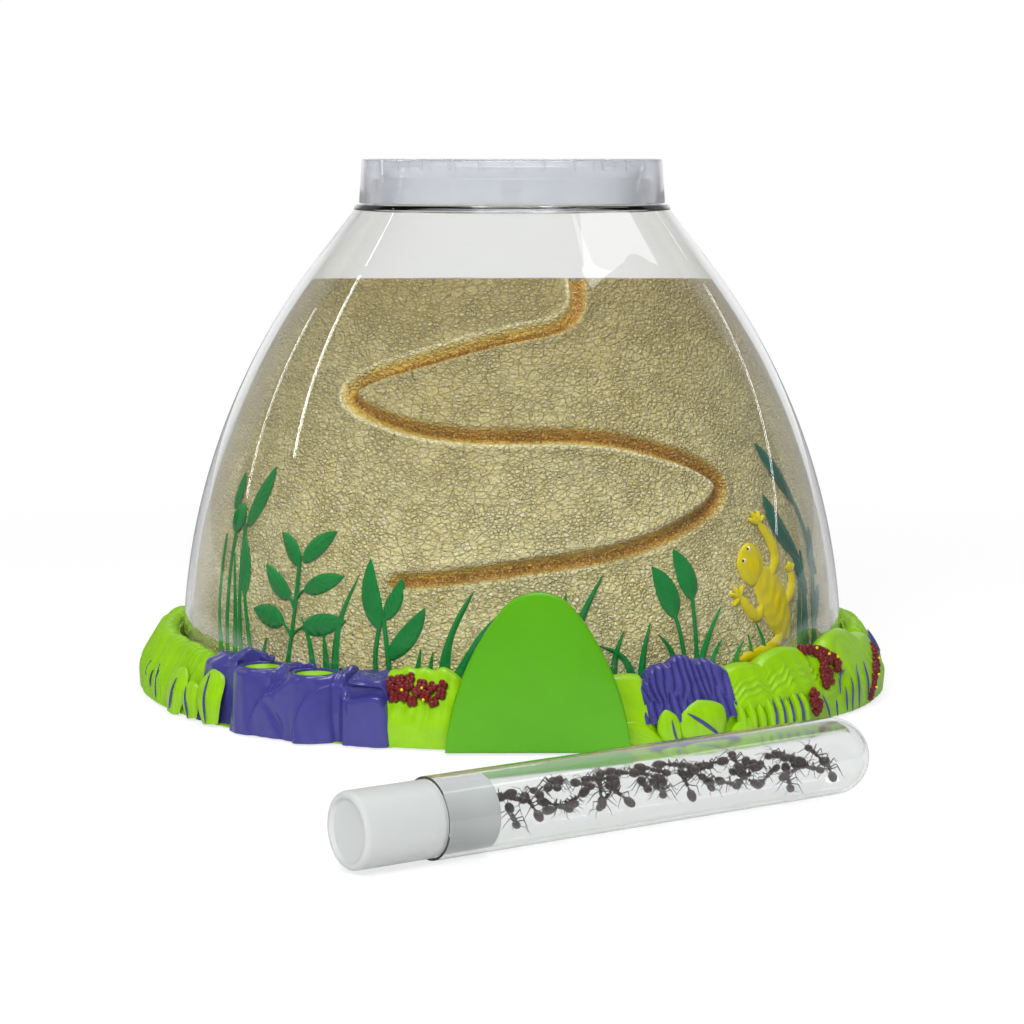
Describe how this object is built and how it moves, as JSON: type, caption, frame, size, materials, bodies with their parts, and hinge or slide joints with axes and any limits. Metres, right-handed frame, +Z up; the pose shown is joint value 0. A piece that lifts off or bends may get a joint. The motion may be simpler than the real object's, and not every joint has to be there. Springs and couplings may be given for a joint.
{
  "type": "ant habitat",
  "caption": "Ant habitat: clear bell-shaped dome over a moulded sand mountain with a winding path, ringed base with leaves and rock, lift-off lid, front shield and a stoppered ant tube",
  "frame": {"origin": "centre of the flat underside of the floor pan, where the habitat stands", "axes": "+Z up, front with the shield towards -Y, +X to the right seen from the front"},
  "size_m": [0.286, 0.4517, 0.1965],
  "materials": {
    "clear_plastic": "polished clear moulding",
    "frosted_plastic": "translucent milky moulding",
    "sand_plastic": "moulded sand and cracked-earth grain",
    "green_plastic": "satin moulding",
    "shield_plastic": "smooth satin moulding",
    "purple_plastic": "satin moulding",
    "berry_paint": "gloss paint",
    "leaf_plastic": "gloss paint on moulded relief",
    "teal_plastic": "gloss paint on moulded relief",
    "yellow_plastic": "satin paint on moulded relief",
    "eye_paint": "gloss paint",
    "zinc_steel": "zinc plated",
    "ant_shell": "glossy dark brown"
  },
  "bodies": {
    "habitat": {"clear_dome": "clear_plastic", "sand_mountain": "sand_plastic", "floor_pan": "green_plastic", "base_ring": "green_plastic", "base_screws": "zinc_steel", "rock_outcrop": "purple_plastic", "purple_fern": "purple_plastic", "front_shield": "shield_plastic", "grass_bank": "green_plastic", "bank_leaves": "green_plastic", "green_shrubs": "green_plastic", "front_berries": "berry_paint", "right_berries": "berry_paint", "side_berries": "berry_paint", "leafy_sprig": "leaf_plastic", "twin_leaf_plant": "leaf_plastic", "left_reeds": "leaf_plastic", "grass_blades": "leaf_plastic", "bulb_plant": "leaf_plastic", "palm_leaves": "teal_plastic", "gecko": "yellow_plastic", "gecko_eyes": "eye_paint"},
    "lid": {"vent_lid": "clear_plastic"},
    "tube": {"ant_tube": "clear_plastic", "ants": "ant_shell"},
    "stopper": {"tube_stopper": "frosted_plastic"}
  },
  "joints": [
    {"name": "lid_lift", "type": "slide", "parent": "habitat", "child": "lid", "axis": [0, 0, 1], "range_m": [0, 0.045]},
    {"name": "tube_lift", "type": "slide", "parent": "habitat", "child": "tube", "axis": [0, 0, 1], "range_m": [0, 0.15]},
    {"name": "stopper_pull", "type": "slide", "parent": "tube", "child": "stopper", "axis": [-0.8261, -0.5635, 0], "range_m": [0, 0.03]}
  ]
}
